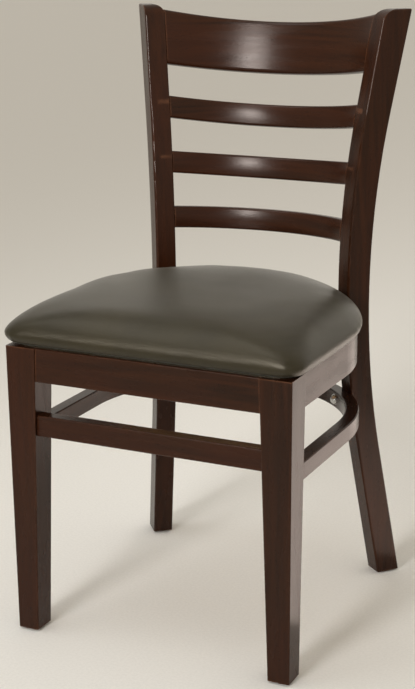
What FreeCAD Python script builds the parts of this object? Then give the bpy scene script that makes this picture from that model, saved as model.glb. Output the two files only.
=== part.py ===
import FreeCAD, Part
import math
import os
import Sketcher
from types import SimpleNamespace
from FreeCAD import Placement, Rotation, Vector

# Ladderback dining chair: front legs and a bent seat hoop carry an upholstered seat,
# and two back posts turned in plan carry a bent crest rail and three bent slats.
# The chair faces -Y and stands on Z = 0, with X = 0 as its centre plane.
# The seat hoop and the boards of the back all bend about one upright line, the back axis.

# Driving dimensions in millimetres and degrees
DIMENSIONS = {
    # Frame levels, and the front faces of the front legs in Y
    "front_face": -238.35,
    "frame_top": 421.0,
    "rail_height": 48.0,
    "glide_height": 3.0,
    "glide_radius": 10.0,
    # Front legs: section at the rails and at the foot, half width over the legs
    "leg_outer": 212.0,
    "leg_width": 46.0,
    "leg_depth": 47.0,
    "foot_width": 31.5,
    "foot_depth": 36.0,
    "foot_tuck": 2.5,
    "edge_round": 2.0,
    # Back axis behind the front faces, and the turn of the back posts in plan
    "axis_back": 202.4,
    "post_turn": 40.0,
    "post_thickness": 30.5,
    "post_top": 856.0,
    "post_round": 3.0,
    "post_top_round": 14.0,
    "post_top_roll": 22.0,
    # Front edge of a post: least distance from the back axis, its height, bend and rakes
    "front_waist": 207.0,
    "front_waist_height": 451.6,
    "front_bend": 1350.0,
    "front_rake_low": 10.4,
    "front_rake_high": 11.2,
    # Rear edge of a post
    "rear_waist": 244.0,
    "rear_waist_height": 440.0,
    "rear_bend": 1260.0,
    "rear_rake_low": 10.6,
    "rear_rake_high": 12.4,
    # Boards of the back: heights of their ends' middles, sections
    "crest_level": 808.0,
    "upper_level": 706.2,
    "middle_level": 623.6,
    "lower_level": 539.5,
    "crest_height": 78.0,
    "crest_thickness": 20.0,
    "crest_round": 6.0,
    "crest_rise": 4.0,
    "slat_height": 33.0,
    "slat_thickness": 16.0,
    "slat_round": 4.0,
    "board_crown": 2.0,
    "board_spare": 6.0,
    # Bent hoops of the seat frame and of the stretchers
    "hoop_radius": 209.5,
    "hoop_wall": 20.0,
    "stretcher_axis": 214.0,
    "stretcher_hoop_bottom": 275.0,
    "stretcher_hoop_height": 25.0,
    # Straight rails between the front legs
    "rail_setback": 2.5,
    "rail_depth": 22.0,
    "stretcher_bottom": 294.0,
    "stretcher_height": 30.0,
    "stretcher_setback": 6.0,
    "stretcher_depth": 20.0,
    # Joinery
    "tenon_thickness": 10.0,
    "tenon_length": 18.0,
    "tenon_shoulder": 5.0,
    "mortise_spare": 1.0,
    "slat_tenon_height": 20.0,
    "slat_tenon_thickness": 9.0,
    "dowel_radius": 4.5,
    "dowel_length": 36.0,
    "dowel_spread": 40.0,
    # Corner blocks
    "block_side": 105.0,
    "block_height": 28.0,
    "block_drop": 2.0,
    "rear_block_depth": 32.0,
    "rear_block_half_angle": 10.0,
    "rear_block_angle": 64.0,
    # Bolts, washers and threaded inserts
    "bolt_radius": 3.0,
    "bolt_length": 44.0,
    "bolt_head_radius": 7.5,
    "bolt_head_height": 6.0,
    "bolt_spread": 22.0,
    "bolt_aside": 11.0,
    "washer_radius": 8.5,
    "washer_thickness": 1.5,
    "spot_face_radius": 9.5,
    "spot_face_depth": 1.5,
    "insert_radius": 5.0,
    "insert_length": 20.0,
    "insert_cover": 2.0,
    "bore_clearance": 0.3,
    # Wood screws and glide nails
    "screw_radius": 2.4,
    "screw_head_radius": 4.8,
    "screw_head_height": 3.0,
    "block_screw_length": 64.0,
    "rear_screw_length": 46.0,
    "seat_screw_length": 38.0,
    "screw_inset": 12.0,
    "screw_aside": 18.0,
    "nail_radius": 1.25,
    "nail_head_radius": 3.0,
    "nail_length": 20.0,
    # Upholstered seat: plan at its widest line, drawn-in lower edge, swell above that line
    "seat_half": 223.5,
    "seat_axis": 180.35,
    "seat_overhang": 3.0,
    "seat_corner": 26.0,
    "seat_low": 18.0,
    "seat_draw": 12.0,
    "seat_swell": 38.5,
    "cover_thickness": 1.2,
    "cover_turn_under": 22.0,
    "board_thickness": 12.0,
    "board_margin": 8.0,
}

# Sections of the seat: shares of the height of its drawn-in lower edge,
# then scales of its plan over the crown. The draw power keeps the edge upright above its turned-under lip.
# A fuller crown is flatter, and a higher ease slopes its sides more.
LOW_SHARES = (0, 0.1, 0.25, 0.5, 0.75)
DRAW_POWER = 3
CROWN_SCALES = (1, 0.996, 0.985, 0.96, 0.92, 0.87, 0.8, 0.7, 0.6, 0.5, 0.4, 0.3)
CROWN_FULLNESS = 7.4
CROWN_EASE = 0.74

# The seat's corners grow rounder up the crown, as shares of its half width
CORNER_GROWTH = 2.2
CORNER_LIMIT = 0.6

# Shape of a pan head: radius of its flat top and height of its rim, as shares of the head
PAN_TOP = 0.7
PAN_RIM = 0.4

# Multiple of a size that takes a cut right through a solid, and the distance at which points count as one
THROUGH = 3
CLOSE = 0.01

SIDES = {"left": -1, "right": 1}
UP = Vector(0, 0, 1)
ACROSS = Vector(1, 0, 0)

doc = FreeCAD.newDocument("ladderback_chair")


class Size:
    """A number together with the formula that ties it to the sheet of dimensions."""

    def __init__(self, value, text):
        self.value = value
        self.text = text

    def __add__(self, other):
        other = as_size(other)
        return Size(self.value + other.value, f"({self.text} + {other.text})")

    def __sub__(self, other):
        other = as_size(other)
        return Size(self.value - other.value, f"({self.text} - {other.text})")

    def __mul__(self, other):
        other = as_size(other)
        return Size(self.value * other.value, f"({self.text} * {other.text})")

    def __truediv__(self, other):
        other = as_size(other)
        return Size(self.value / other.value, f"({self.text} / {other.text})")

    def __rsub__(self, other):
        return as_size(other) - self

    def __neg__(self):
        return self * -1

    __radd__ = __add__
    __rmul__ = __mul__


def as_size(number):
    if isinstance(number, Size):
        return number
    return Size(float(number), f"({float(number)})")


def sine(angle):
    return Size(math.sin(math.radians(angle.value)), f"sin({angle.text})")


def cosine(angle):
    return Size(math.cos(math.radians(angle.value)), f"cos({angle.text})")


def tangent(angle):
    return Size(math.tan(math.radians(angle.value)), f"tan({angle.text})")


def arc_tangent(ratio):
    return Size(math.degrees(math.atan(ratio.value)), f"atan({ratio.text})")


def root(number):
    return Size(math.sqrt(number.value), f"sqrt({number.text})")


def fill_sheet():
    """Write every driving dimension to its own cell, under its own alias."""
    sheet = doc.addObject("Spreadsheet::Sheet", "Dims")
    for row, (name, value) in enumerate(DIMENSIONS.items(), start=1):
        sheet.set(f"A{row}", name)
        sheet.set(f"B{row}", str(value))
        sheet.setAlias(f"B{row}", name)
    doc.recompute()


fill_sheet()
D = SimpleNamespace(**{name: Size(value, "Dims." + name) for name, value in DIMENSIONS.items()})

# Levels and faces that several pieces share
rail_bottom = D.frame_top - D.rail_height
leg_inner_top = D.leg_outer - D.leg_width
foot_outer = D.leg_outer - D.foot_tuck
foot_inner = foot_outer - D.foot_width
rail_back = D.rail_setback + D.rail_depth
hoop_inner = D.hoop_radius - D.hoop_wall
axis_y = D.front_face + D.axis_back
block_bottom = D.frame_top - D.block_drop - D.block_height
block_middle = block_bottom + D.block_height / 2
stretcher_bolt_level = D.stretcher_hoop_bottom + D.stretcher_hoop_height / 2
seat_bolt_levels = (
    rail_bottom + (D.rail_height - D.bolt_spread) / 2,
    rail_bottom + (D.rail_height + D.bolt_spread) / 2,
)


def leg_inner(level):
    """X of a front leg's inside face at a level."""
    drop = (D.frame_top - level) / (D.frame_top - D.glide_height)
    return leg_inner_top + (foot_inner - leg_inner_top) * drop


def leg_rear(level):
    """Depth of a front leg's rear face behind its front face at a level."""
    drop = (D.frame_top - level) / (D.frame_top - D.glide_height)
    return D.leg_depth - (D.leg_depth - D.foot_depth) * drop


# Helpers that draw sketches and add features


def place(item, x, y, z, axis=UP, angle=None):
    """Put a piece at a point, turned about one axis, all tied to the sheet."""
    base = [as_size(number) for number in (x, y, z)]
    turn = as_size(angle if angle is not None else 0)
    item.Placement = Placement(Vector(*[size.value for size in base]), Rotation(axis, turn.value))
    for letter, size in zip("xyz", base):
        item.setExpression(f"Placement.Base.{letter}", size.text)
    if angle is not None:
        item.setExpression("Placement.Rotation.Angle", turn.text)


def new_body(name):
    """A body whose local Y starts at the front faces of the front legs."""
    body = doc.addObject("PartDesign::Body", name)
    body.Label = name
    place(body, 0, D.front_face, 0)
    return body


def sketch_on(body, role, name, lift=None):
    """A sketch on one of the body's own planes, lifted along the plane's normal."""
    sketch = body.newObject("Sketcher::SketchObject", f"{body.Name}_{name}")
    plane = next(part for part in body.Origin.OriginFeatures if part.Role == role)
    sketch.AttachmentSupport = [(plane, "")]
    sketch.MapMode = "FlatFace"
    if lift is not None:
        sketch.AttachmentOffset = Placement(Vector(0, 0, lift.value), Rotation())
        sketch.setExpression("AttachmentOffset.Base.z", lift.text)
    return sketch


def constrain(sketch, rule, size=None):
    index = sketch.addConstraint(rule)
    if size is not None:
        sketch.setExpression(f"Constraints[{index}]", size.text)


def locate(sketch, shape, point, x, y):
    """Hold a point of a sketch at its two distances from the sketch's origin."""
    for kind, own_axis, size in (("DistanceX", -2, x), ("DistanceY", -1, y)):
        if abs(size.value) < 1e-9:
            constrain(sketch, Sketcher.Constraint("PointOnObject", shape, point, own_axis))
        elif size.value > 0:
            constrain(sketch, Sketcher.Constraint(kind, -1, 1, shape, point, size.value), size)
        else:
            constrain(sketch, Sketcher.Constraint(kind, shape, point, -1, 1, -size.value), -size)


def draw(sketch, points, arcs=None):
    """Draw a closed outline. arcs maps a side's number to (centre x, centre y, radius, clockwise)."""
    arcs = arcs or {}
    points = [(as_size(x), as_size(y)) for x, y in points]
    spots = [Vector(x.value, y.value, 0) for x, y in points]
    shapes = []
    for side, start in enumerate(spots):
        finish = spots[(side + 1) % len(spots)]
        if side not in arcs:
            shapes.append((sketch.addGeometry(Part.LineSegment(start, finish)), 1, 2))
            continue
        centre_x, centre_y, radius, clockwise = arcs[side]
        centre = Vector(as_size(centre_x).value, as_size(centre_y).value, 0)
        first, last = (finish, start) if clockwise else (start, finish)
        from_angle = math.atan2(first.y - centre.y, first.x - centre.x)
        to_angle = math.atan2(last.y - centre.y, last.x - centre.x)
        if to_angle < from_angle:
            to_angle += 2 * math.pi
        circle = Part.Circle(centre, UP, radius.value)
        shape = sketch.addGeometry(Part.ArcOfCircle(circle, from_angle, to_angle))
        shapes.append((shape, 2, 1) if clockwise else (shape, 1, 2))
    for side, (shape, first, last) in enumerate(shapes):
        following, following_first, _ = shapes[(side + 1) % len(shapes)]
        constrain(sketch, Sketcher.Constraint("Coincident", shape, last, following, following_first))
        locate(sketch, shape, first, *points[side])
        if side in arcs:
            radius = arcs[side][2]
            constrain(sketch, Sketcher.Constraint("Radius", shape, radius.value), radius)
    return sketch


def draw_circle(sketch, x, y, radius):
    x, y = as_size(x), as_size(y)
    circle = Part.Circle(Vector(x.value, y.value, 0), UP, radius.value)
    shape = sketch.addGeometry(circle)
    locate(sketch, shape, 3, x, y)
    constrain(sketch, Sketcher.Constraint("Radius", shape, radius.value), radius)
    return sketch


def rectangle(x0, x1, y0, y1):
    return [(x0, y0), (x1, y0), (x1, y1), (x0, y1)]


def draw_rounded_rectangle(sketch, x0, x1, y0, y1, radius):
    """A rectangle with rounded corners; x0 < x1 and y0 < y1."""
    points = [(x0 + radius, y0), (x1 - radius, y0), (x1, y0 + radius), (x1, y1 - radius),
              (x1 - radius, y1), (x0 + radius, y1), (x0, y1 - radius), (x0, y0 + radius)]
    arcs = {
        1: (x1 - radius, y0 + radius, radius, False),
        3: (x1 - radius, y1 - radius, radius, False),
        5: (x0 + radius, y1 - radius, radius, False),
        7: (x0 + radius, y0 + radius, radius, False),
    }
    return draw(sketch, points, arcs)


def extrude(kind, sketch, length, flip=False, both_ways=False):
    """Pad or pocket a sketch; flip turns the feature's own direction round."""
    body = sketch.getParentGeoFeatureGroup()
    feature = body.newObject(f"PartDesign::{kind}", f"{sketch.Name}_{kind.lower()}")
    feature.Profile = sketch
    feature.Length = length.value
    feature.setExpression("Length", length.text)
    feature.Reversed = flip
    if both_ways:
        feature.SideType = "Symmetric"
    return feature


def revolve(sketch, axis_role, angle, both_ways=False):
    body = sketch.getParentGeoFeatureGroup()
    feature = body.newObject("PartDesign::Revolution", f"{sketch.Name}_turn")
    feature.Profile = sketch
    axis = next(part for part in body.Origin.OriginFeatures if part.Role == axis_role)
    feature.ReferenceAxis = (axis, [""])
    feature.Angle = angle.value
    feature.setExpression("Angle", angle.text)
    feature.Midplane = both_ways
    return feature


def loft(kind, sketches):
    body = sketches[0].getParentGeoFeatureGroup()
    feature = body.newObject(f"PartDesign::{kind}", f"{sketches[0].Name}_loft")
    feature.Profile = sketches[0]
    feature.Sections = sketches[1:]
    return feature


def round_edges(base, radius, wanted):
    """Round the edges of a feature that the test wants."""
    doc.recompute()
    names = [f"Edge{number}" for number, edge in enumerate(base.Shape.Edges, start=1) if wanted(edge)]
    body = base.getParentGeoFeatureGroup()
    fillet = body.newObject("PartDesign::Fillet", f"{base.Name}_round")
    fillet.Base = (base, names)
    fillet.Radius = radius.value
    fillet.setExpression("Radius", radius.text)
    return fillet


def combine(kind, name, base, tool):
    """Part::Cut or Part::Common of two pieces."""
    result = doc.addObject(f"Part::{kind}", name)
    result.Base = base
    result.Tool = tool
    return result


def group(name, members):
    """Separate solids that share one name."""
    result = doc.addObject("Part::Compound", name)
    result.Links = members
    return result


# Frame of a back post: out is the distance from the back axis along the post's own plane,
# and aside is the distance from the post's inner face into its thickness.


def post_point(side, out, aside):
    turn_sine, turn_cosine = sine(D.post_turn), cosine(D.post_turn)
    return (out * turn_sine + aside * turn_cosine) * side, axis_y + out * turn_cosine - aside * turn_sine


def place_in_post(item, side, out=0, aside=0, level=0):
    """Turn a piece so that its local X runs outwards in the post's plane."""
    x, y = post_point(side, as_size(out), as_size(aside))
    place(item, x, y, level, UP, 90 - D.post_turn * side)


def post_edge(edge):
    """Corners and arc of a post's front or rear edge: straight foot, long bend, straight top."""
    waist, level, bend, low, high = [
        getattr(D, f"{edge}_{part}") for part in ("waist", "waist_height", "bend", "rake_low", "rake_high")
    ]
    centre_x = waist + bend
    bend_low = (centre_x - bend * cosine(low), level - bend * sine(low))
    bend_high = (centre_x - bend * cosine(high), level + bend * sine(high))
    foot_x = bend_low[0] + (bend_low[1] - D.glide_height) * tangent(low)
    top_x = bend_high[0] + (D.post_top - bend_high[1]) * tangent(high)
    return SimpleNamespace(
        foot=(foot_x, D.glide_height), bend_low=bend_low, bend_high=bend_high, top=(top_x, D.post_top),
        centre=(centre_x, level), bend=bend, rake_high=high,
    )


front_edge = post_edge("front")
rear_edge = post_edge("rear")


def front_edge_at(level):
    """Distance of the posts' front edge from the back axis at a level, and the tangent of its lean."""
    if level.value > front_edge.bend_high[1].value:
        lean = tangent(front_edge.rake_high)
        return front_edge.top[0] - (D.post_top - level) * lean, lean
    rise = level - front_edge.centre[1]
    depth = root(front_edge.bend * front_edge.bend - rise * rise)
    return front_edge.centre[0] - depth, rise / depth


def hoop_face(axis, radius):
    """Where a hoop's face of this radius stands in the post's frame, in line with the bolts."""
    shift = axis - D.axis_back
    aside = D.bolt_aside + shift * sine(D.post_turn)
    return shift * cosine(D.post_turn) + root(radius * radius - aside * aside)


# Back posts


def back_post(name, side):
    body = doc.addObject("PartDesign::Body", f"{name}_blank")
    place_in_post(body, side)
    into_post = side > 0
    profile = sketch_on(body, "XZ_Plane", "profile")
    points = [front_edge.foot, front_edge.bend_low, front_edge.bend_high, front_edge.top,
              rear_edge.top, rear_edge.bend_high, rear_edge.bend_low, rear_edge.foot]
    arcs = {
        1: (*front_edge.centre, front_edge.bend, True),
        5: (*rear_edge.centre, rear_edge.bend, False),
    }
    blank = extrude("Pad", draw(profile, points, arcs), D.post_thickness, flip=side < 0)

    def on_inner_face(edge):
        return all(abs(vertex.Y) < CLOSE for vertex in edge.Vertexes)

    def is_top(edge):
        return all(vertex.Z > D.post_top.value - CLOSE for vertex in edge.Vertexes)

    def is_long(edge):
        return edge.Length > D.rail_height.value * 2

    topped = round_edges(blank, D.post_top_round, lambda edge: is_top(edge) and on_inner_face(edge))
    rounded = round_edges(topped, D.post_round, lambda edge: is_long(edge) and not on_inner_face(edge))
    round_edges(rounded, D.edge_round, lambda edge: is_long(edge) and on_inner_face(edge))

    # The front of the top, rolled over into the front edge
    roll, rake = D.post_top_roll, front_edge.rake_high
    centre = (front_edge.top[0] + roll * (1 - sine(rake)) / cosine(rake), D.post_top - roll)
    front = (centre[0] - roll * cosine(rake), centre[1] + roll * sine(rake))
    above = D.post_top + roll
    corner = sketch_on(body, "XZ_Plane", "rolled_top")
    draw(corner, [front, (front[0] - roll, front[1]), (front[0] - roll, above), (centre[0], above),
                  (centre[0], D.post_top)], {4: (*centre, roll, False)})
    extrude("Pocket", corner, D.post_thickness * THROUGH, flip=into_post)

    # Seats for the two hoops, curved like them
    seat = sketch_on(body, "XY_Plane", "seat_hoop_notch", rail_bottom)
    extrude("Pocket", draw_circle(seat, 0, 0, D.hoop_radius), D.rail_height, flip=True)
    shift = D.stretcher_axis - D.axis_back
    notch = sketch_on(body, "XY_Plane", "stretcher_notch", D.stretcher_hoop_bottom)
    draw_circle(notch, shift * cosine(D.post_turn), shift * sine(D.post_turn) * side, D.hoop_radius)
    extrude("Pocket", notch, D.stretcher_hoop_height, flip=True)

    # Mortises of the slats and holes of the crest rail's dowels
    mortises = sketch_on(body, "XZ_Plane", "mortises")
    for level in (D.upper_level, D.middle_level, D.lower_level):
        draw(mortises, slat_tenon_outline(level))
    extrude("Pocket", mortises, D.tenon_length + D.mortise_spare, flip=into_post)
    dowels = sketch_on(body, "XZ_Plane", "dowel_holes")
    for level in dowel_levels():
        draw_circle(dowels, dowel_out(level), level, D.dowel_radius)
    extrude("Pocket", dowels, D.dowel_length / 2, flip=into_post)

    # Holes of the threaded inserts, and of the glide's nail
    for kind, levels, start in bolt_rows():
        holes = sketch_on(body, "YZ_Plane", f"{kind}_holes")
        for level in levels:
            draw_circle(holes, D.bolt_aside * -side, level, D.insert_radius)
        extrude("Pocket", holes, start + D.bolt_length + D.mortise_spare, flip=True)
    nail = sketch_on(body, "XY_Plane", "nail_hole", D.glide_height)
    foot_out = (front_edge.foot[0] + rear_edge.foot[0]) / 2
    draw_circle(nail, foot_out, D.post_thickness / 2 * -side, D.nail_radius)
    extrude("Pocket", nail, D.nail_length, flip=True)
    return body


# Boards of the back


def board_radius_and_tilt(level):
    """Bending radius and backward tilt that bring a board's ends flush with the posts."""
    radius, lean = front_edge_at(level)
    return radius, arc_tangent(lean / cosine(D.post_turn))


def bent_board(name, level, height, thickness, rounding, rise=None):
    """A crowned board bent about a tilted axis, trimmed at the posts' inner faces.

    With a rise, the upper edge sweeps up towards both ends.
    """
    radius, tilt = board_radius_and_tilt(level)
    body = doc.addObject("PartDesign::Body", f"{name}_bent")
    reach = radius * cosine(D.post_turn)
    place(body, 0, axis_y + reach * (1 - cosine(tilt)), level + reach * sine(tilt), ACROSS, -tilt)
    low, top = -height / 2, height / 2 + (rise or 0)
    half = (top - low) / 2
    crown = radius_of_arc(half, D.board_crown)
    front, rear = radius + D.board_crown, radius + thickness
    section = sketch_on(body, "YZ_Plane", "section")
    draw(section, [(front, low), (rear, low), (rear, top), (front, top)],
         {3: (radius + crown, low + half, crown, False)})
    bent = revolve(section, "Z_Axis", (D.post_turn + D.board_spare) * 2, both_ways=True)
    if rise:
        span = rear * sine(D.post_turn + D.board_spare)
        sweep = radius_of_arc(span, rise)
        above = sketch_on(body, "XZ_Plane", "upper_edge")
        draw(above, [(-span, top), (span, top), (span, top + height), (-span, top + height)],
             {0: (0, top - rise + sweep, sweep, False)})
        bent = extrude("Pocket", above, rear * THROUGH, both_ways=True)
    round_edges(bent, rounding, lambda edge: edge.Length > radius.value)
    return combine("Common", f"{name}_trimmed", body, between_posts)


def radius_of_arc(half_chord, rise):
    return (half_chord * half_chord + rise * rise) / (rise * 2)


def sector_between_posts():
    """The space between the posts' inner faces, all the way up."""
    sector = doc.addObject("Part::Cylinder", "between_posts")
    for prop, size in (("Radius", rear_edge.top[0] * THROUGH), ("Height", D.post_top * THROUGH),
                       ("Angle", D.post_turn * 2)):
        setattr(sector, prop, size.value)
        sector.setExpression(prop, size.text)
    place(sector, 0, axis_y, 0, UP, 90 - D.post_turn)
    return sector


def slat_tenon_outline(level):
    """Outline of a slat's tenon on the post's inner face."""
    out = front_edge_at(level)[0] + D.slat_thickness / 2
    half_width, half_height = D.slat_tenon_thickness / 2, D.slat_tenon_height / 2
    return rectangle(out - half_width, out + half_width, level - half_height, level + half_height)


def slat(name, level):
    """A bent slat with a tenon at each end."""
    board = bent_board(name, level, D.slat_height, D.slat_thickness, D.slat_round)
    root_depth = D.slat_thickness / 4
    pieces = [board]
    for side_name, side in SIDES.items():
        tenon = doc.addObject("PartDesign::Body", f"{name}_{side_name}_tenon")
        place_in_post(tenon, side)
        sketch = sketch_on(tenon, "XZ_Plane", "section", root_depth * -side)
        draw(sketch, slat_tenon_outline(level))
        extrude("Pad", sketch, root_depth + D.tenon_length, flip=side < 0)
        pieces.append(tenon)
    whole = doc.addObject("Part::MultiFuse", name)
    whole.Shapes = pieces
    return whole


def dowel_levels():
    return D.crest_level - D.dowel_spread / 2, D.crest_level + D.dowel_spread / 2


def dowel_out(level):
    return front_edge_at(level)[0] + D.crest_thickness / 2


def crest_dowels():
    """Two dowels at each end of the crest rail, half in the rail and half in the post."""
    members = []
    for side_name, side in SIDES.items():
        for number, level in enumerate(dowel_levels(), start=1):
            body = doc.addObject("PartDesign::Body", f"{side_name}_dowel_{number}")
            place_in_post(body, side)
            sketch = sketch_on(body, "XZ_Plane", "section")
            draw_circle(sketch, dowel_out(level), level, D.dowel_radius)
            extrude("Pad", sketch, D.dowel_length, both_ways=True)
            members.append(body)
    return group("crest_dowels", members)


# Front legs and the straight rails between them


def front_leg(name, side):
    body = new_body(f"{name}_blank")
    sections = []
    for level, inner, outer, depth in (
        (D.glide_height, foot_inner, foot_outer, D.foot_depth),
        (D.frame_top, leg_inner_top, D.leg_outer, D.leg_depth),
    ):
        low, high = (inner, outer) if side > 0 else (-outer, -inner)
        sketch = sketch_on(body, "XY_Plane", f"section_{len(sections)}", level)
        sections.append(draw_rounded_rectangle(sketch, low, high, as_size(0), depth, D.edge_round))
    loft("AdditiveLoft", sections)

    # Mortises of the straight rails, cut from the inside face
    for rail_name, bottom, height, setback, depth in cross_rail_sizes():
        sketch = sketch_on(body, "YZ_Plane", f"{rail_name}_mortise")
        middle = setback + depth / 2
        draw(sketch, rectangle(middle - D.tenon_thickness / 2, middle + D.tenon_thickness / 2,
                               bottom + D.tenon_shoulder, bottom + height - D.tenon_shoulder))
        end = leg_inner(bottom + height / 2) + D.tenon_length + D.mortise_spare
        extrude("Pocket", sketch, end, flip=side > 0)

    # Mortises of the hoops, cut from the rear face
    for hoop_name, _, bottom, height in hoop_sizes():
        end = leg_rear(bottom + height / 2) - D.tenon_length - D.mortise_spare
        sketch = sketch_on(body, "XZ_Plane", f"{hoop_name}_mortise", -end)
        draw(sketch, hoop_tenon_outline(side, bottom, height))
        extrude("Pocket", sketch, D.leg_depth)

    nail = sketch_on(body, "XY_Plane", "nail_hole", D.glide_height)
    draw_circle(nail, (foot_inner + foot_outer) / 2 * side, D.foot_depth / 2, D.nail_radius)
    extrude("Pocket", nail, D.nail_length, flip=True)
    return body


def cross_rail_sizes():
    """Name, bottom, height, setback and depth of the two straight rails."""
    return (
        ("front_rail", rail_bottom, D.rail_height, D.rail_setback, D.rail_depth),
        ("front_stretcher", D.stretcher_bottom, D.stretcher_height, D.stretcher_setback, D.stretcher_depth),
    )


def cross_rail(name, bottom, height, setback, depth):
    """A straight rail whose shoulders follow the taper of the legs, with a tenon at each end."""
    body = new_body(name)
    top = bottom + height
    face = sketch_on(body, "XZ_Plane", "face", -(setback + depth))
    draw(face, [(-leg_inner(bottom), bottom), (leg_inner(bottom), bottom),
                (leg_inner(top), top), (-leg_inner(top), top)])
    bar = extrude("Pad", face, depth)
    round_edges(bar, D.edge_round, lambda edge: edge.Length > leg_inner_top.value)
    end = leg_inner(bottom + height / 2) + D.tenon_length
    tenons = sketch_on(body, "XZ_Plane", "tenons", -(setback + (depth + D.tenon_thickness) / 2))
    draw(tenons, rectangle(-end, end, bottom + D.tenon_shoulder, top - D.tenon_shoulder))
    extrude("Pad", tenons, D.tenon_thickness)
    return body


# Bent hoops


def hoop_sizes():
    """Name, axis behind the front faces, bottom and height of the two hoops."""
    return (
        ("seat_hoop", D.axis_back, rail_bottom, D.rail_height),
        ("stretcher_hoop", D.stretcher_axis, D.stretcher_hoop_bottom, D.stretcher_hoop_height),
    )


def hoop_tenon_outline(side, bottom, height):
    middle = (D.hoop_radius - D.hoop_wall / 2) * side
    half = D.tenon_thickness / 2
    low, high = bottom + D.tenon_shoulder, bottom + height - D.tenon_shoulder
    return rectangle(middle - half, middle + half, low, high)


def bent_hoop(name, axis, bottom, height):
    """A bent U whose ends meet the rear faces of the front legs and enter them with tenons."""
    body = new_body(f"{name}_bent")
    outer, inner, start = D.hoop_radius, hoop_inner, D.foot_depth
    points = [(outer, start), (outer, axis), (0, axis + outer), (-outer, axis), (-outer, start),
              (-inner, start), (-inner, axis), (0, axis + inner), (inner, axis), (inner, start)]
    arcs = {
        1: (0, axis, outer, False),
        2: (0, axis, outer, False),
        6: (0, axis, inner, True),
        7: (0, axis, inner, True),
    }
    plan = draw(sketch_on(body, "XY_Plane", "plan", bottom), points, arcs)
    blank = extrude("Pad", plan, height)
    round_edges(blank, D.edge_round, lambda edge: edge.Length > D.rail_height.value * 2)

    # Ends cut to the slope of the legs' rear faces
    low, high = bottom - D.edge_round, bottom + height + D.edge_round
    trim = sketch_on(body, "YZ_Plane", "trim")
    draw(trim, [(0, low), (leg_rear(low), low), (leg_rear(high), high), (0, high)])
    extrude("Pocket", trim, D.leg_outer * THROUGH, both_ways=True)

    end = leg_rear(bottom + height / 2) - D.tenon_length
    tenons = sketch_on(body, "XZ_Plane", "tenons", -end)
    for side in SIDES.values():
        draw(tenons, hoop_tenon_outline(side, bottom, height))
    extrude("Pad", tenons, D.tenon_length * 2, flip=True)
    return body


# Bolts that hold the hoops to the posts


def bolt_rows():
    """Name, levels and seat of the bolts in the seat hoop and in the stretcher hoop."""
    return (
        ("seat_bolt", seat_bolt_levels, hoop_face(D.axis_back, hoop_inner) + D.spot_face_depth),
        ("stretcher_bolt", (stretcher_bolt_level,),
         hoop_face(D.stretcher_axis, hoop_inner) + D.spot_face_depth),
    )


def turned(name, points, arcs=None):
    """A solid turned about its own local X axis from a half section in X and Z."""
    body = doc.addObject("PartDesign::Body", name)
    revolve(draw(sketch_on(body, "XZ_Plane", "half_section"), points, arcs), "X_Axis", as_size(360))
    return body


def bolt(name):
    """A bolt with a domed head; its seat under the head lies at local X = -washer."""
    seat = -D.washer_thickness
    crown = seat - D.bolt_head_height
    dome = radius_of_arc(D.bolt_head_radius, D.bolt_head_height)
    points = [(crown, 0), (seat, D.bolt_head_radius), (seat, D.bolt_radius),
              (D.bolt_length, D.bolt_radius), (D.bolt_length, 0)]
    return turned(name, points, {0: (crown + dome, 0, dome, True)})


def washer(name):
    bore = D.bolt_radius + D.bore_clearance
    return turned(name, rectangle(-D.washer_thickness, as_size(0), bore, D.washer_radius))


def threaded_insert(name, start):
    bore = D.bolt_radius + D.bore_clearance / 3
    return turned(name, rectangle(start, start + D.insert_length, bore, D.insert_radius))


def drill(name):
    """Through hole of a bolt with the spot face that its washer sits on."""
    bore = D.bolt_radius + D.bore_clearance
    points = [(-D.bolt_length, 0), (-D.bolt_length, D.spot_face_radius), (0, D.spot_face_radius),
              (0, bore), (D.bolt_length, bore), (D.bolt_length, 0)]
    return turned(name, points)


def bolts_and_drills():
    """Bolts, washers and inserts of both hoops as named groups, and the drills of each hoop."""
    washers, inserts, drills = [], [], {}
    for kind, levels, seat in bolt_rows():
        bolts, holes = [], []
        face = hoop_face(D.axis_back if kind == "seat_bolt" else D.stretcher_axis, D.hoop_radius)
        for side_name, side in SIDES.items():
            for number, level in enumerate(levels, start=1):
                tag = f"{side_name}_{kind}_{number}"
                pieces = (bolt(tag), washer(f"{tag}_washer"), drill(f"{tag}_drill"),
                          threaded_insert(f"{tag}_insert", face - seat + D.insert_cover))
                for piece in pieces:
                    place_in_post(piece, side, seat, D.bolt_aside, level)
                for piece, members in zip(pieces, (bolts, washers, holes, inserts)):
                    members.append(piece)
        group(f"{kind}s", bolts)
        drills[kind] = group(f"{kind}_drills", holes)
    group("bolt_washers", washers)
    group("threaded_inserts", inserts)
    return drills


# Corner blocks and screws


def front_block(name, side):
    """A corner block behind a front leg, notched round the leg, with a face at 45 degrees."""
    gap = D.bore_clearance
    body = new_body(f"{name}_blank")
    notch_x, notch_y = leg_inner_top - gap, D.leg_depth + gap
    points = [(hoop_inner - D.block_side, rail_back), (notch_x, rail_back), (notch_x, notch_y),
              (hoop_inner, notch_y), (hoop_inner, rail_back + D.block_side)]
    plan = sketch_on(body, "XY_Plane", "plan", block_bottom)
    extrude("Pad", draw(plan, [(x * side, y) for x, y in points]), D.block_height)
    return body


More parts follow.
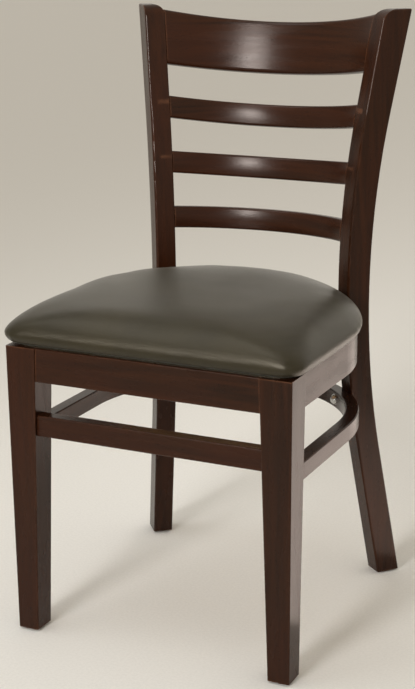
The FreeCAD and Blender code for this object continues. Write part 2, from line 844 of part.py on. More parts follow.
def rear_block(name, side):
    """A block inside the seat hoop that takes a rear seat screw, curved to the hoop's inner face."""
    body = doc.addObject("PartDesign::Body", f"{name}_blank")
    place(body, 0, axis_y, 0, UP, 90 - D.rear_block_angle * side)
    half = D.rear_block_half_angle
    x, y = hoop_inner * cosine(half), hoop_inner * sine(half)
    inside = hoop_inner - D.rear_block_depth
    plan = sketch_on(body, "XY_Plane", "plan", block_bottom)
    draw(plan, [(inside, -y), (x, -y), (x, y), (inside, y)], {1: (0, 0, hoop_inner, False)})
    extrude("Pad", plan, D.block_height)
    return body


def screw(name, length):
    """A pan-head wood screw along local X, its head's seat at X = 0."""
    head, tip = D.screw_head_height, D.screw_radius * 2
    points = [(-head, 0), (-head, D.screw_head_radius * PAN_TOP), (-head * PAN_RIM, D.screw_head_radius),
              (0, D.screw_head_radius), (0, D.screw_radius), (length - tip, D.screw_radius), (length, 0)]
    return turned(name, points)


def rear_block_point(side, depth, along=0):
    """Plan point on a rear block: depth into it from its inner face, and along that face."""
    out = hoop_inner - D.rear_block_depth + depth
    turn_sine, turn_cosine = sine(D.rear_block_angle), cosine(D.rear_block_angle)
    return (out * turn_sine + along * turn_cosine) * side, axis_y + out * turn_cosine - along * turn_sine


def front_block_point(side, depth, along=0):
    """Plan point on a front block: depth into it from its sloping face, and along that face."""
    half, slope = D.block_side / 2, math.sqrt(0.5)
    x = hoop_inner - half + (depth + along) * slope
    return x * side, D.front_face + rail_back + half + (along - depth) * slope


def screws():
    """Screws through the blocks into the legs and the seat hoop, and up into the seat board."""
    block_screws, seat_screws = [], []
    for side_name, side in SIDES.items():
        front = screw(f"{side_name}_front_block_screw", D.block_screw_length)
        place(front, *front_block_point(side, 0), block_middle, UP, as_size(-90 + 45 * side))
        rear = screw(f"{side_name}_rear_block_screw", D.rear_screw_length)
        place(rear, *rear_block_point(side, 0), block_middle, UP, 90 - D.rear_block_angle * side)
        block_screws += [front, rear]
        for place_name, point in (("front", front_block_point(side, D.screw_inset, D.screw_aside)),
                                  ("rear", rear_block_point(side, D.screw_inset, D.screw_aside))):
            up = screw(f"{side_name}_{place_name}_seat_screw", D.seat_screw_length)
            place(up, *point, block_bottom, Vector(0, 1, 0), as_size(-90))
            seat_screws.append(up)
    return group("block_screws", block_screws), group("seat_screws", seat_screws)


# Upholstered seat


def draw_seat_outline(sketch, scale, inset, rounding=0):
    """The seat's D-shaped plan, drawn in by inset, with rounder corners, scaled about its middle."""
    middle = (D.seat_axis + D.seat_half - D.seat_overhang) / 2
    half = (D.seat_half - inset) * scale
    front = middle + (inset - D.seat_overhang - middle) * scale
    axis = middle + (D.seat_axis - middle) * scale
    corner = (D.seat_corner - inset + D.seat_half * rounding) * scale
    points = [(corner - half, front), (half - corner, front), (half, front + corner), (half, axis),
              (0, axis + half), (-half, axis), (-half, front + corner)]
    arcs = {
        1: (half - corner, front + corner, corner, False),
        3: (0, axis, half, False),
        4: (0, axis, half, False),
        6: (corner - half, front + corner, corner, False),
    }
    return draw(sketch, points, arcs)


def seat_sections(inset):
    """Scale, height and rounding of the seat's sections: drawn in below, swelling to a crown above."""
    sections = []
    low, swell = D.seat_low - inset, D.seat_swell - inset
    for share in LOW_SHARES:
        scale = 1 - D.seat_draw / D.seat_half * (1 - share) ** DRAW_POWER
        sections.append((scale, D.frame_top + inset + low * share, 0))
    for scale in CROWN_SCALES:
        rise = (1 - scale**CROWN_FULLNESS) ** CROWN_EASE
        rounding = min(CORNER_GROWTH * (1 - scale), CORNER_LIMIT)
        sections.append((as_size(scale), D.frame_top + D.seat_low + swell * rise, rounding))
    return sections


def seat_loft(body, kind, inset):
    sketches = []
    for number, (scale, level, rounding) in enumerate(seat_sections(inset)):
        sketch = sketch_on(body, "XY_Plane", f"{kind}_{number}", level)
        sketches.append(draw_seat_outline(sketch, scale, inset, rounding))
    return loft(kind, sketches)


def drawn_in(margin):
    """Scale of the seat's plan that lies this far inside its lower edge."""
    return 1 - (D.seat_draw + margin) / D.seat_half


def seat_cover():
    """A thin cover over the foam, turned under the seat board and open below."""
    body = new_body("seat_cover")
    seat_loft(body, "AdditiveLoft", as_size(0))
    seat_loft(body, "SubtractiveLoft", D.cover_thickness)
    opening = sketch_on(body, "XY_Plane", "opening", D.frame_top)
    draw_seat_outline(opening, drawn_in(D.cover_turn_under), as_size(0))
    extrude("Pocket", opening, D.seat_low, flip=True)
    return body


def seat_foam():
    """The foam fills the cover and laps over the edge of the board."""
    body = new_body("seat_foam")
    seat_loft(body, "AdditiveLoft", D.cover_thickness)
    recess = sketch_on(body, "XY_Plane", "board_recess", D.frame_top + D.cover_thickness)
    draw_seat_outline(recess, drawn_in(D.board_margin), as_size(0))
    extrude("Pocket", recess, D.board_thickness, flip=True)
    return body


def seat_board():
    body = new_body("seat_board_blank")
    plan = sketch_on(body, "XY_Plane", "plan", D.frame_top + D.cover_thickness)
    draw_seat_outline(plan, drawn_in(D.board_margin), as_size(0))
    extrude("Pad", plan, D.board_thickness)
    return body


# Floor glides


def glide(name, x, y):
    """A round glide with a bore and a recess for its nail, and the nail, which it returns."""
    third = D.glide_height / 3
    rim, bore, recess = D.glide_radius, D.nail_radius, D.nail_head_radius
    body = turned(name, [(0, recess), (0, rim - third), (third, rim), (D.glide_height, rim),
                         (D.glide_height, bore), (third * 2, bore), (third * 2, recess)])
    nail = turned(f"{name}_nail", [(third, 0), (third, recess), (third * 2, recess), (third * 2, bore),
                                   (D.nail_length - recess, bore), (D.nail_length, 0)])
    for piece in (body, nail):
        place(piece, x, y, 0, Vector(0, 1, 0), as_size(-90))
    return nail


def glides():
    nails = []
    foot_out = (front_edge.foot[0] + rear_edge.foot[0]) / 2
    for side_name, side in SIDES.items():
        front = (foot_inner + foot_outer) / 2 * side, D.front_face + D.foot_depth / 2
        rear = post_point(side, foot_out, D.post_thickness / 2)
        nails.append(glide(f"{side_name}_front_glide", *front))
        nails.append(glide(f"{side_name}_rear_glide", *rear))
    group("glide_nails", nails)


# The whole chair

between_posts = sector_between_posts()
bolt_drills = bolts_and_drills()
block_screw_group, seat_screw_group = screws()
dowel_group = crest_dowels()

for side_name, side in SIDES.items():
    leg_name, post_name = f"{side_name}_front_leg", f"{side_name}_back_post"
    combine("Cut", leg_name, front_leg(leg_name, side), block_screw_group)
    back_post(post_name, side).Label = post_name
    for place_name, block in (("front", front_block), ("rear", rear_block)):
        block_name = f"{side_name}_{place_name}_block"
        drilled = combine("Cut", f"{block_name}_drilled", block(block_name, side), block_screw_group)
        combine("Cut", block_name, drilled, seat_screw_group)

crest = bent_board("crest_rail", D.crest_level, D.crest_height, D.crest_thickness, D.crest_round,
                   D.crest_rise)
combine("Cut", "crest_rail", crest, dowel_group)
slat("upper_slat", D.upper_level)
slat("middle_slat", D.middle_level)
slat("lower_slat", D.lower_level)

for sizes in cross_rail_sizes():
    cross_rail(*sizes)
for (name, axis, bottom, height), kind in zip(hoop_sizes(), ("seat_bolt", "stretcher_bolt")):
    drilled = combine("Cut", f"{name}_drilled", bent_hoop(name, axis, bottom, height), bolt_drills[kind])
    combine("Cut", name, drilled, block_screw_group)

seat_cover()
seat_foam()
combine("Cut", "seat_board", seat_board(), seat_screw_group)
glides()
doc.recompute()

NODES = (
    "left_front_leg", "right_front_leg", "left_back_post", "right_back_post",
    "crest_rail", "upper_slat", "middle_slat", "lower_slat", "crest_dowels",
    "front_rail", "seat_hoop", "front_stretcher", "stretcher_hoop",
    "left_front_block", "right_front_block", "left_rear_block", "right_rear_block",
    "block_screws", "seat_screws", "seat_bolts", "stretcher_bolts", "bolt_washers", "threaded_inserts",
    "seat_board", "seat_foam", "seat_cover",
    "left_front_glide", "right_front_glide", "left_rear_glide", "right_rear_glide", "glide_nails",
)


def check_and_write():
    """Stop on any failed object or shape, then write one file for each node."""
    failed = [item.Name for item in doc.Objects if {"Invalid", "Error"} & set(item.State)]
    if failed:
        raise RuntimeError(f"failed objects: {failed}")
    os.makedirs("parts", exist_ok=True)
    for name in NODES:
        shape = doc.getObjectsByLabel(name)[0].Shape
        if shape.isNull() or not shape.isValid() or not shape.Solids:
            raise RuntimeError(f"bad shape: {name}")
        shape.exportStep(f"parts/{name}.step")
        box = shape.BoundBox
        print(f"{name}: {len(shape.Solids)} solid(s), {shape.Volume / 1000:.1f} cm3, "
              f"X {box.XMin:.1f} {box.XMax:.1f}, Y {box.YMin:.1f} {box.YMax:.1f}, "
              f"Z {box.ZMin:.1f} {box.ZMax:.1f}")


check_and_write()
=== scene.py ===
"""Looks of a ladderback dining chair: stained beech frame, bent slats and hoops, padded vinyl seat."""

import math
from functools import partial

import bmesh
import bpy
from mathutils import Matrix, Vector


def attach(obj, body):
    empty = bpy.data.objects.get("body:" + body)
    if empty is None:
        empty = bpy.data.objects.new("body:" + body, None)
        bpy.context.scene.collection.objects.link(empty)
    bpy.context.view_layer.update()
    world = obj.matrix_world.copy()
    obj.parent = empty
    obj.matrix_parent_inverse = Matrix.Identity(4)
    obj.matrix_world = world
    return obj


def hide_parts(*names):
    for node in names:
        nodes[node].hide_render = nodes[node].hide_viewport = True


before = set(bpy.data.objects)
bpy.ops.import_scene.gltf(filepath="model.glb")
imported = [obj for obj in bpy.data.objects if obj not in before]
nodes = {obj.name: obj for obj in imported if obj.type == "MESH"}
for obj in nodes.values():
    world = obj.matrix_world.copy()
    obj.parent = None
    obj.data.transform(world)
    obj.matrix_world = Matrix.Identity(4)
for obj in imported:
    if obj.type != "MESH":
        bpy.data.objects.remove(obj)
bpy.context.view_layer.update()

# Places of the frame, in metres
BACK_AXIS = -0.03595
STRETCHER_AXIS = -0.02435
BEND_RADIUS = 0.2
RAIL_TOP = 0.421
POST_FRONT = (0.133, 0.1226)
BOARD_LOW = 0.4222
BOARD_TOP = 0.4342

# Cushion: lengths in metres, then counts
SEAT_HALF = 0.2235
SEAT_FRONT = -0.24135
SEAT_AXIS = -0.058
RIM_DEPTH = 0.012
BOARD_MARGIN = 0.002
POST_GAP = 0.03
POST_FADE = 0.05
WELD = 0.00002
PAD_GRID = 0.0045
COVER = 0.0012
RIM_FULLNESS = 0.0016
SWELL = 0.002
SWELL_FRAMES = 20
EVEN_ROUNDS = 12
SMOOTH_ROUNDS = 9

# Hem and staples, in metres and radians
HEM_HALF = 0.2098
HEM_FRONT = -0.2297
HEM_AXIS = -0.0569
HEM_CORNER = 0.03
HEM_WIDTH = 0.027
STAPLE_SIZE = (0.0095, 0.0011, 0.0007)
STAPLE_EDGE = 0.00025
STAPLE_INSET = 0.0238
STAPLE_TILT = 0.1
FRONT_SPACING = 0.03
SIDE_START = 0.02
SIDE_SPACING = 0.028
REAR_SPACING = math.radians(10)

LEGS = ["left_front_leg", "right_front_leg"]
POSTS = ["left_back_post", "right_back_post"]
STRAIGHT_RAILS = ["front_rail", "front_stretcher"]
BACK_BOARDS = ["crest_rail", "upper_slat", "middle_slat", "lower_slat"]
BLOCKS = ["left_front_block", "right_front_block", "left_rear_block", "right_rear_block"]
STEEL = ["block_screws", "seat_screws", "seat_bolts", "stretcher_bolts", "bolt_washers", "glide_nails"]
GLIDES = ["left_front_glide", "right_front_glide", "left_rear_glide", "right_rear_glide"]


# Finishes

class Finish:
    """A procedural material with short calls for the nodes that the finishes share."""

    def __init__(self, name):
        self.material = bpy.data.materials.new(name)
        self.material.use_nodes = True
        self.tree = self.material.node_tree
        self.shader = self.tree.nodes["Principled BSDF"]

    def node(self, kind, **settings):
        made = self.tree.nodes.new(kind)
        for name, value in settings.items():
            setattr(made, name, value)
        return made

    def feed(self, socket, value):
        """Links an output to a socket, or sets the socket to a plain value."""
        if isinstance(value, bpy.types.NodeSocket):
            self.tree.links.new(value, socket)
        else:
            socket.default_value = value

    def set(self, **inputs):
        for name, value in inputs.items():
            self.feed(self.shader.inputs[name.replace("_", " ")], value)

    def place(self):
        return self.node("ShaderNodeTexCoord").outputs["Object"]

    def moved(self, vector, location=(0, 0, 0), scale=(1, 1, 1), rotation=(0, 0, 0)):
        mapping = self.node("ShaderNodeMapping")
        self.feed(mapping.inputs["Vector"], vector)
        mapping.inputs["Location"].default_value = location
        mapping.inputs["Scale"].default_value = scale
        mapping.inputs["Rotation"].default_value = rotation
        return mapping.outputs["Vector"]

    def noise(self, vector, scale=1.0, detail=3.0, roughness=0.5, distortion=0.0):
        made = self.node("ShaderNodeTexNoise")
        self.feed(made.inputs["Vector"], vector)
        made.inputs["Scale"].default_value = scale
        made.inputs["Detail"].default_value = detail
        made.inputs["Roughness"].default_value = roughness
        made.inputs["Distortion"].default_value = distortion
        return made.outputs["Fac"]

    def cells(self, vector, scale):
        made = self.node("ShaderNodeTexVoronoi", feature="DISTANCE_TO_EDGE")
        self.feed(made.inputs["Vector"], vector)
        made.inputs["Scale"].default_value = scale
        return made.outputs["Distance"]

    def maths(self, operation, first, second=0.0):
        made = self.node("ShaderNodeMath", operation=operation)
        self.feed(made.inputs[0], first)
        self.feed(made.inputs[1], second)
        return made.outputs[0]

    def range(self, value, low, high, to_low=0.0, to_high=1.0):
        made = self.node("ShaderNodeMapRange", interpolation_type="SMOOTHSTEP")
        self.feed(made.inputs["Value"], value)
        made.inputs["From Min"].default_value = low
        made.inputs["From Max"].default_value = high
        made.inputs["To Min"].default_value = to_low
        made.inputs["To Max"].default_value = to_high
        return made.outputs["Result"]

    def mix(self, share, first, second):
        made = self.node("ShaderNodeMix", data_type="RGBA")
        self.feed(made.inputs["Factor"], share)
        self.feed(made.inputs["A"], first)
        self.feed(made.inputs["B"], second)
        return made.outputs["Result"]

    def split(self, vector):
        made = self.node("ShaderNodeSeparateXYZ")
        self.feed(made.inputs[0], vector)
        return made.outputs["X"], made.outputs["Y"], made.outputs["Z"]

    def join(self, x, y, z):
        made = self.node("ShaderNodeCombineXYZ")
        for socket, value in zip(made.inputs, (x, y, z)):
            self.feed(socket, value)
        return made.outputs[0]

    def edges(self, reach):
        """1 at outer edges and corners, 0 on broad faces."""
        made = self.node("ShaderNodeAmbientOcclusion", inside=True, samples=8)
        made.inputs["Distance"].default_value = reach
        return self.range(made.outputs["AO"], 0.95, 0.55)

    def bump(self, height, depth, strength=1.0, over=None):
        made = self.node("ShaderNodeBump")
        made.inputs["Strength"].default_value = strength
        made.inputs["Distance"].default_value = depth
        self.feed(made.inputs["Height"], height)
        if over is not None:
            self.feed(made.inputs["Normal"], over)
        return made.outputs["Normal"]


def colour(red, green, blue):
    """A colour written as it looks on the screen, from 0 to 255."""
    parts = []
    for part in (red, green, blue):
        share = part / 255
        parts.append(share / 12.92 if share <= 0.04045 else ((share + 0.055) / 1.055) ** 2.4)
    return (*parts, 1.0)


def straight_grain(finish, turn):
    """Grain space with its first axis along the wood, for a piece sawn straight."""
    return finish.moved(finish.place(), rotation=turn)


def bent_grain(finish, axis):
    """Grain space that follows a bend round a vertical axis, and runs on along its straight arms."""
    x, y, z = finish.split(finish.moved(finish.place(), location=(0, -axis, 0)))
    behind = finish.maths("MAXIMUM", y, 0.0)
    ahead = finish.maths("MINIMUM", y, 0.0)
    turn = finish.maths("MULTIPLY", finish.maths("ARCTAN2", x, behind), BEND_RADIUS)
    arm = finish.maths("MULTIPLY", finish.maths("SIGN", x), ahead)
    along = finish.maths("SUBTRACT", turn, arm)
    across = finish.maths("MULTIPLY", x, x)
    back = finish.maths("MULTIPLY", behind, behind)
    depth = finish.maths("SQRT", finish.maths("ADD", across, back))
    return finish.join(along, depth, z)


def stained_wood(name, grain_space, shift):
    """Dark walnut stain under satin lacquer, with streaks, pores and paler rubbed edges."""
    finish = Finish(name)
    grain = finish.moved(grain_space(finish), location=shift)
    lengthwise = finish.moved(grain, scale=(5, 90, 90))
    streaks = finish.noise(lengthwise, detail=5.0, roughness=0.6, distortion=0.6)
    pores = finish.noise(finish.moved(grain, scale=(160, 1500, 1500)), detail=2.0)
    blotches = finish.noise(finish.moved(grain, scale=(4, 9, 9)), detail=2.0)
    tone = finish.mix(finish.range(streaks, 0.3, 0.7), colour(30, 15, 7), colour(46, 23, 10))
    tone = finish.mix(finish.range(blotches, 0.35, 0.7, 0.0, 0.55), tone, colour(48, 21, 9))
    tone = finish.mix(finish.range(pores, 0.6, 0.72, 0.0, 0.65), tone, colour(16, 8, 5))
    wear = finish.range(finish.noise(grain, 40.0), 0.35, 0.65, 0.15, 0.8)
    rub = finish.maths("MULTIPLY", finish.edges(0.003), wear)
    tone = finish.mix(rub, tone, colour(84, 52, 34))
    haze = finish.noise(finish.moved(grain, scale=(12, 60, 60)), detail=4.0)
    rough = finish.range(haze, 0.3, 0.7, 0.22, 0.3)
    relief = finish.bump(pores, 0.0002, 0.25)
    relief = finish.bump(streaks, 0.0006, 0.12, relief)
    finish.set(Base_Color=tone, Roughness=rough, IOR=1.31, Specular_Tint=colour(255, 242, 234))
    finish.set(Normal=relief)
    return finish.material


def bare_beech(name):
    """Unfinished pale beech of the corner blocks and dowels, with short flecks."""
    finish = Finish(name)
    grain = finish.place()
    streaks = finish.noise(finish.moved(grain, scale=(9, 120, 120)), detail=4.0, distortion=0.5)
    flecks = finish.noise(finish.moved(grain, scale=(220, 1300, 1300)), detail=1.0)
    tone = finish.mix(finish.range(streaks, 0.3, 0.7), colour(176, 136, 92), colour(206, 170, 124))
    tone = finish.mix(finish.range(flecks, 0.6, 0.7, 0.0, 0.5), tone, colour(136, 94, 58))
    marks = finish.range(finish.noise(grain, 22.0), 0.55, 0.75, 0.0, 0.35)
    tone = finish.mix(marks, tone, colour(150, 110, 76))
    finish.set(Base_Color=tone, Roughness=finish.range(streaks, 0.3, 0.7, 0.62, 0.8))
    finish.set(Normal=finish.bump(flecks, 0.0003, 0.4))
    return finish.material


def birch_plywood(name):
    """Seat board: a broad face grain, with thin layers of alternating tone round its edge."""
    finish = Finish(name)
    place = finish.place()
    height = finish.split(place)[2]
    figure = finish.noise(finish.moved(place, scale=(6, 70, 70)), detail=4.0, distortion=1.2)
    face = finish.mix(finish.range(figure, 0.3, 0.7), colour(178, 142, 98), colour(208, 176, 132))
    layer = finish.range(finish.maths("SINE", finish.maths("MULTIPLY", height, 2400.0)), -0.2, 0.2)
    fibre = finish.noise(finish.moved(place, scale=(300, 300, 900)), detail=2.0)
    edge = finish.mix(layer, colour(120, 84, 52), colour(190, 152, 106))
    edge = finish.mix(finish.range(fibre, 0.5, 0.7, 0.0, 0.5), edge, colour(92, 62, 40))
    upright = finish.split(finish.node("ShaderNodeNewGeometry").outputs["True Normal"])[2]
    flat = finish.range(finish.maths("ABSOLUTE", upright), 0.5, 0.8)
    rough = finish.range(figure, 0.3, 0.7, 0.6, 0.78)
    finish.set(Base_Color=finish.mix(flat, edge, face), Roughness=rough)
    finish.set(Normal=finish.bump(figure, 0.0004, 0.3))
    return finish.material


def grained_vinyl(name):
    """Dark olive vinyl with a fine pressed hide grain, a soft sheen and a little rubbed shine."""
    finish = Finish(name)
    place = finish.place()
    pebbles = finish.cells(place, 620.0)
    creases = finish.noise(place, 300.0, detail=3.0, distortion=0.8)
    mottle = finish.noise(place, 14.0, detail=3.0)
    rubbed = finish.noise(finish.moved(place, scale=(1, 1, 2)), 5.0, detail=2.0)
    tone = finish.mix(finish.range(mottle, 0.3, 0.7), colour(33, 29, 17), colour(42, 37, 23))
    tone = finish.mix(finish.range(pebbles, 0.0, 0.12, 0.55, 0.0), tone, colour(22, 20, 13))
    tone = finish.mix(finish.range(creases, 0.6, 0.75, 0.0, 0.3), tone, colour(56, 50, 34))
    rough = finish.range(rubbed, 0.35, 0.65, 0.28, 0.38)
    relief = finish.bump(finish.range(pebbles, 0.0, 0.25), 0.00025, 0.35)
    relief = finish.bump(creases, 0.0004, 0.4, relief)
    finish.set(Base_Color=tone, Roughness=rough, IOR=1.42, Specular_Tint=colour(255, 243, 222))
    finish.set(Normal=relief)
    finish.set(Sheen_Weight=0.12, Sheen_Roughness=0.4, Sheen_Tint=colour(210, 206, 196))
    return finish.material


def zinc_steel(name):
    """Bright zinc plating with fine turning marks and dull spots."""
    finish = Finish(name)
    place = finish.place()
    marks = finish.noise(finish.moved(place, scale=(400, 400, 2600)), detail=2.0)
    spots = finish.noise(place, 700.0, detail=3.0)
    tone = finish.mix(finish.range(spots, 0.45, 0.7), colour(206, 206, 204), colour(164, 164, 166))
    tone = finish.mix(finish.range(marks, 0.4, 0.7, 0.0, 0.3), tone, colour(186, 182, 168))
    finish.set(Base_Color=tone, Metallic=1.0, Roughness=finish.range(spots, 0.4, 0.7, 0.2, 0.38))
    finish.set(Normal=finish.bump(marks, 0.0001, 0.3))
    return finish.material


def turned_brass(name):
    """Brass inserts with fine turning marks and a little tarnish."""
    finish = Finish(name)
    place = finish.place()
    marks = finish.noise(finish.moved(place, scale=(500, 500, 3000)), detail=2.0)
    tarnish = finish.noise(place, 260.0, detail=3.0)
    tone = finish.mix(finish.range(tarnish, 0.4, 0.7), colour(201, 168, 98), colour(160, 122, 66))
    finish.set(Base_Color=tone, Metallic=1.0, Roughness=finish.range(tarnish, 0.4, 0.7, 0.25, 0.45))
    finish.set(Normal=finish.bump(marks, 0.0001, 0.3))
    return finish.material


def scuffed_nylon(name):
    """Dark floor glides, dulled and scratched underneath."""
    finish = Finish(name)
    place = finish.place()
    scratches = finish.noise(finish.moved(place, scale=(900, 90, 90), rotation=(0, 0, 0.5)), detail=2.0)
    dust = finish.noise(place, 500.0, detail=3.0)
    tone = finish.mix(finish.range(dust, 0.45, 0.7), colour(34, 28, 24), colour(58, 50, 44))
    tone = finish.mix(finish.range(scratches, 0.6, 0.72, 0.0, 0.6), tone, colour(92, 84, 76))
    finish.set(Base_Color=tone, Roughness=finish.range(dust, 0.4, 0.7, 0.5, 0.7))
    finish.set(Normal=finish.bump(scratches, 0.0002, 0.4))
    return finish.material


def studio_paper(name):
    """Matt paper floor with a faint tooth."""
    finish = Finish(name)
    tooth = finish.noise(finish.place(), 260.0, detail=2.0)
    tone = finish.mix(finish.range(tooth, 0.3, 0.7), colour(232, 229, 223), colour(237, 234, 228))
    finish.set(Base_Color=tone, Roughness=0.9, Specular_IOR_Level=0.1)
    return finish.material


def coat(names, material):
    for name in names:
        node = nodes[name]
        node.data.materials.clear()
        node.data.materials.append(material)


def finish_frame():
    """Coats the CAD nodes that show, each stained piece with the grain along its own length."""
    upright = partial(straight_grain, turn=(0, math.radians(90), 0))
    level = partial(straight_grain, turn=(0, 0, 0))
    round_back = partial(bent_grain, axis=BACK_AXIS)
    round_stretcher = partial(bent_grain, axis=STRETCHER_AXIS)
    for number, name in enumerate(LEGS + POSTS):
        coat([name], stained_wood(f"stained_{name}", upright, (0.3 * number, 0.17 * number, 0)))
    for number, name in enumerate(STRAIGHT_RAILS):
        coat([name], stained_wood(f"stained_{name}", level, (0.4 * number, 0.23 * number, 0)))
    for number, name in enumerate(BACK_BOARDS + ["seat_hoop"]):
        coat([name], stained_wood(f"stained_{name}", round_back, (0.37 * number, 0.11 * number, 0)))
    coat(["stretcher_hoop"], stained_wood("stained_stretcher_hoop", round_stretcher, (0.9, 0.4, 0)))
    coat(BLOCKS + ["crest_dowels"], bare_beech("bare_beech"))
    coat(["seat_board"], birch_plywood("birch_plywood"))
    coat(STEEL, zinc_steel("zinc_steel"))
    coat(["threaded_inserts"], turned_brass("turned_brass"))
    coat(GLIDES, scuffed_nylon("scuffed_nylon"))


# Seat

def new_piece(name, mesh_builder, material):
    mesh = bpy.data.meshes.new(name)
    mesh_builder.to_mesh(mesh)
    mesh_builder.free()
    piece = bpy.data.objects.new(name, mesh)
    bpy.context.scene.collection.objects.link(piece)
    mesh.materials.append(material)
    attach(piece, "root")
    return piece


def away_from_posts(point):
    """0 where the seat's rim passes a back post, 1 well away from it."""
    gap = (Vector((abs(point.x), point.y)) - Vector(POST_FRONT)).length
    return min(max((gap - POST_GAP) / POST_FADE, 0.0), 1.0)


def swell(piece, held, cap):
    """Lets the pad swell outwards under pressure. Held points stay, and no point moves past the cap."""
    mesh = piece.data
    group = piece.vertex_groups.new(name="held")
    group.add(held, 1.0, "REPLACE")
    cloth = piece.modifiers.new("swell", "CLOTH")
    cloth.settings.quality = 4
    cloth.settings.mass = 0.4
    cloth.settings.tension_stiffness = 25
    cloth.settings.compression_stiffness = 25
    cloth.settings.shear_stiffness = 15
    cloth.settings.bending_stiffness = 5
    cloth.settings.use_pressure = True
    cloth.settings.uniform_pressure_force = 4.0
    cloth.settings.effector_weights.gravity = 0
    cloth.settings.vertex_group_mass = "held"
    cloth.point_cache.frame_start = 1
    cloth.point_cache.frame_end = SWELL_FRAMES
    for moment in range(1, SWELL_FRAMES + 1):
        bpy.context.scene.frame_set(moment)
    settled = piece.evaluated_get(bpy.context.evaluated_depsgraph_get()).to_mesh()
    rises = []
    for after, before in zip(settled.vertices, mesh.vertices):
        rises.append((after.co - before.co).dot(before.normal))
    piece.modifiers.remove(cloth)
    bpy.context.scene.frame_set(1)
    piece.vertex_groups.remove(group)
    rises = evened(mesh, [min(max(rise, 0.0), cap) for rise in rises], EVEN_ROUNDS)
    outward = [vertex.normal.copy() for vertex in mesh.vertices]
    for vertex, normal, rise in zip(mesh.vertices, outward, rises):
        vertex.co += normal * rise * away_from_posts(vertex.co)


def evened(mesh, rises, rounds):
    """Spreads each point's rise over its neighbours, so that the cover swells without wrinkles."""
    for _ in range(rounds):
        totals = [2.0 * rise for rise in rises]
        counts = [2.0] * len(rises)
        for edge in mesh.edges:
            first, second = edge.vertices
            totals[first] += rises[second]
            totals[second] += rises[first]
            counts[first] += 1.0
            counts[second] += 1.0
        rises = [total / count for total, count in zip(totals, counts)]
    return rises


def seat_cushion(vinyl):
    """The padded seat: the foam's form, swollen under its vinyl cover and wrapped by its thickness."""
    builder = bmesh.new()
    builder.from_mesh(nodes["seat_foam"].data)
    bmesh.ops.remove_doubles(builder, verts=builder.verts, dist=WELD)
    piece = new_piece("seat_cushion", builder, vinyl)
    remesh = piece.modifiers.new("even", "REMESH")
    remesh.mode = "VOXEL"
    remesh.voxel_size = PAD_GRID
    bpy.context.view_layer.update()
    even = bpy.data.meshes.new_from_object(piece.evaluated_get(bpy.context.evaluated_depsgraph_get()))
    piece.modifiers.remove(remesh)
    piece.data = even
    even.materials.clear()
    even.materials.append(vinyl)
    held = [vertex.index for vertex in even.vertices if rests_on_board(vertex.co)]
    swell(piece, held, SWELL)
    builder = bmesh.new()
    builder.from_mesh(even)
    builder.verts.ensure_lookup_table()
    resting = set(held)
    free = [vertex for vertex in builder.verts if vertex.index not in resting]
    for _ in range(SMOOTH_ROUNDS):
        bmesh.ops.smooth_vert(builder, verts=free, factor=0.5,
                              use_axis_x=True, use_axis_y=True, use_axis_z=True)
    builder.normal_update()
    for vertex in free:
        stretch = RIM_FULLNESS * (1 - abs(vertex.normal.z)) * away_from_posts(vertex.co)
        vertex.co += vertex.normal * (COVER + stretch)
    builder.to_mesh(even)
    builder.free()
    for face in even.polygons:
        face.use_smooth = True
    smooth = piece.modifiers.new("smooth", "SUBSURF")
    smooth.levels = 1
    smooth.render_levels = 1
    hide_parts("seat_cover", "seat_foam")


def rests_on_board(point):
    """True for points of the pad on and around the seat board, which stay where the board is."""
    if point.z < BOARD_LOW + BOARD_MARGIN:
        return True
    return point.z < BOARD_TOP + BOARD_MARGIN and not on_rim(point)


def on_rim(point):
    """True on the pad's outer wall, outside the board's edge."""
    if point.y > SEAT_AXIS:
        return Vector((point.x, point.y - SEAT_AXIS)).length > SEAT_HALF - RIM_DEPTH
    return abs(point.x) > SEAT_HALF - RIM_DEPTH or point.y < SEAT_FRONT + RIM_DEPTH


def seat_hem(vinyl):
    """The edge of the cover, pulled flat under the seat board all round."""
    builder = bmesh.new()
    left = builder.verts.new((-HEM_HALF, HEM_FRONT, RAIL_TOP))
    right = builder.verts.new((HEM_HALF, HEM_FRONT, RAIL_TOP))
    start = builder.verts.new((HEM_HALF, HEM_AXIS, RAIL_TOP))
    builder.edges.new((left, right))
    builder.edges.new((right, start))
    bend = bmesh.ops.spin(builder, geom=[start], cent=(0, HEM_AXIS, 0), axis=(0, 0, 1),
                          angle=math.pi, steps=40)
    end = next(item for item in bend["geom_last"] if isinstance(item, bmesh.types.BMVert))
    builder.edges.new((end, left))
    bmesh.ops.bevel(builder, geom=[left, right], offset=HEM_CORNER, affect="VERTICES",
                    segments=8, profile=0.5, material=-1)
    flat = bmesh.ops.contextual_create(builder, geom=builder.edges[:])["faces"]
    bmesh.ops.inset_region(builder, faces=flat, thickness=HEM_WIDTH,
                           use_boundary=True, use_even_offset=True)
    bmesh.ops.delete(builder, geom=flat, context="FACES")
    above = bmesh.ops.extrude_face_region(builder, geom=builder.faces[:], use_keep_orig=True)["geom"]
    raised = [item for item in above if isinstance(item, bmesh.types.BMVert)]
    bmesh.ops.translate(builder, verts=raised, vec=(0, 0, BOARD_LOW - RAIL_TOP))
    bmesh.ops.recalc_face_normals(builder, faces=builder.faces)
    new_piece("seat_hem", builder, vinyl)


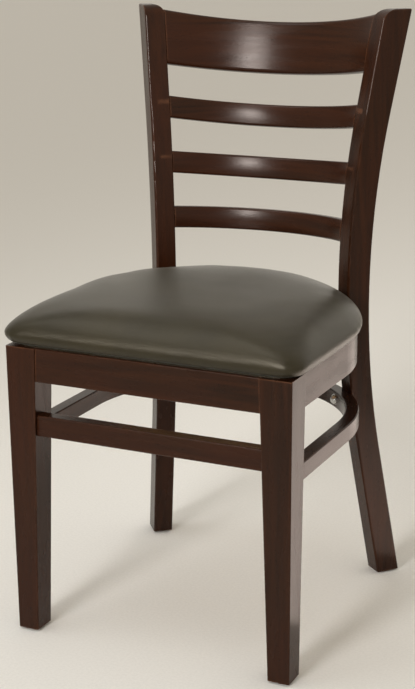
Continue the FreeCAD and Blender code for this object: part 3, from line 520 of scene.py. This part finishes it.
def staple_places():
    """Place and turn of each staple, spaced along the hem and a little askew on the front and sides."""
    half = HEM_HALF - STAPLE_INSET
    front = HEM_FRONT + STAPLE_INSET
    places = []
    for step in range(-5, 6):
        places.append(((FRONT_SPACING * step, front), STAPLE_TILT * math.sin(7 * step)))
    for step in range(5):
        along = HEM_AXIS - SIDE_START - SIDE_SPACING * step
        turn = math.pi / 2 + STAPLE_TILT * math.sin(5 * step)
        places.append(((-half, along), turn))
        places.append(((half, along), turn))
    for step in range(1, 18):
        turn = REAR_SPACING * step
        places.append(((half * math.cos(turn), HEM_AXIS + half * math.sin(turn)), turn + math.pi / 2))
    return places


def hem_staples(steel):
    """Flat wire staples through the hem into the board."""
    builder = bmesh.new()
    height = RAIL_TOP - STAPLE_SIZE[2] / 2
    size = Matrix.Diagonal((*STAPLE_SIZE, 1.0))
    for (x, y), turn in staple_places():
        place = Matrix.Translation((x, y, height)) @ Matrix.Rotation(turn, 4, "Z")
        bmesh.ops.create_cube(builder, size=1.0, matrix=place @ size)
    bmesh.ops.bevel(builder, geom=builder.edges[:], offset=STAPLE_EDGE, affect="EDGES",
                    segments=2, profile=0.5, material=-1)
    new_piece("hem_staples", builder, steel)


# Stage, light and camera

def soft_box(name, place, aim, size, power, tint=(1.0, 1.0, 1.0), spread=180):
    lamp = bpy.data.lights.new(name, "AREA")
    lamp.shape = "RECTANGLE"
    lamp.size, lamp.size_y = size
    lamp.energy = power
    lamp.color = tint
    lamp.spread = math.radians(spread)
    box = bpy.data.objects.new(name, lamp)
    bpy.context.scene.collection.objects.link(box)
    box.location = place
    box.rotation_euler = (Vector(aim) - Vector(place)).to_track_quat("-Z", "Y").to_euler()
    box.visible_camera = False


def light_room():
    """A pale warm studio behind and right of the chair, half as bright in front on the left."""
    world = bpy.data.worlds.new("studio")
    bpy.context.scene.world = world
    world.use_nodes = True
    tree = world.node_tree
    background = tree.nodes["Background"]
    direction = tree.nodes.new("ShaderNodeTexCoord").outputs["Generated"]
    toward = tree.nodes.new("ShaderNodeVectorMath")
    toward.operation = "DOT_PRODUCT"
    tree.links.new(direction, toward.inputs[0])
    toward.inputs[1].default_value = (0.6, 0.7, -0.38)
    level = tree.nodes.new("ShaderNodeMapRange")
    tree.links.new(toward.outputs["Value"], level.inputs["Value"])
    level.inputs["From Min"].default_value = -0.6
    level.inputs["From Max"].default_value = 0.3
    level.inputs["To Min"].default_value = 0.42
    level.inputs["To Max"].default_value = 0.85
    tree.links.new(level.outputs["Result"], background.inputs["Strength"])
    background.inputs["Color"].default_value = (1.0, 0.94, 0.84, 1.0)


def light_studio():
    """A tall box in front, a panel facing up from the floor behind on the right, and a broad box above."""
    light_room()
    soft_box("front_box", place=(-0.35, -3.1, 1.78), aim=(0, 0.2, 0.72), size=(0.8, 1.65),
             power=8.9, spread=45)
    soft_box("right_panel", place=(0.58, 0.72, 0.01), aim=(0.58, 0.72, 1.0), size=(0.66, 1.6),
             power=5.3, tint=(1.0, 0.83, 0.74))
    soft_box("top_box", place=(-0.7, -0.6, 2.4), aim=(0, -0.1, 0.4), size=(1.3, 1.3),
             power=14, tint=(0.95, 0.98, 1.0))


def lay_floor():
    """A round paper floor that ends far behind the chair, where it meets the background."""
    builder = bmesh.new()
    bmesh.ops.create_circle(builder, cap_ends=True, segments=96, radius=60.0)
    mesh = bpy.data.meshes.new("floor")
    builder.to_mesh(mesh)
    builder.free()
    floor = bpy.data.objects.new("floor", mesh)
    bpy.context.scene.collection.objects.link(floor)
    mesh.materials.append(studio_paper("studio_paper"))


def set_camera():
    """The camera stands where the photograph was taken, right of the front and a little above the back."""
    data = bpy.data.cameras.new("camera")
    data.sensor_width = 36.0
    data.lens = 79.76
    data.shift_x = -0.0079
    data.shift_y = -0.0349
    camera = bpy.data.objects.new("camera", data)
    bpy.context.scene.collection.objects.link(camera)
    right = Vector((0.9015, 0.4327, -0.0088)).normalized()
    ahead = Vector((-0.4202, 0.8702, -0.2572)).normalized()
    above = right.cross(ahead)
    turn = Matrix((right, above, -ahead)).transposed().to_4x4()
    camera.matrix_world = Matrix.Translation((0.9153, -1.92015, 0.987)) @ turn
    bpy.context.scene.camera = camera


bpy.context.scene.view_settings.view_transform = "Standard"
finish_frame()
vinyl = grained_vinyl("grained_vinyl")
seat_cushion(vinyl)
seat_hem(vinyl)
hem_staples(bpy.data.materials["zinc_steel"])
light_studio()
lay_floor()
set_camera()
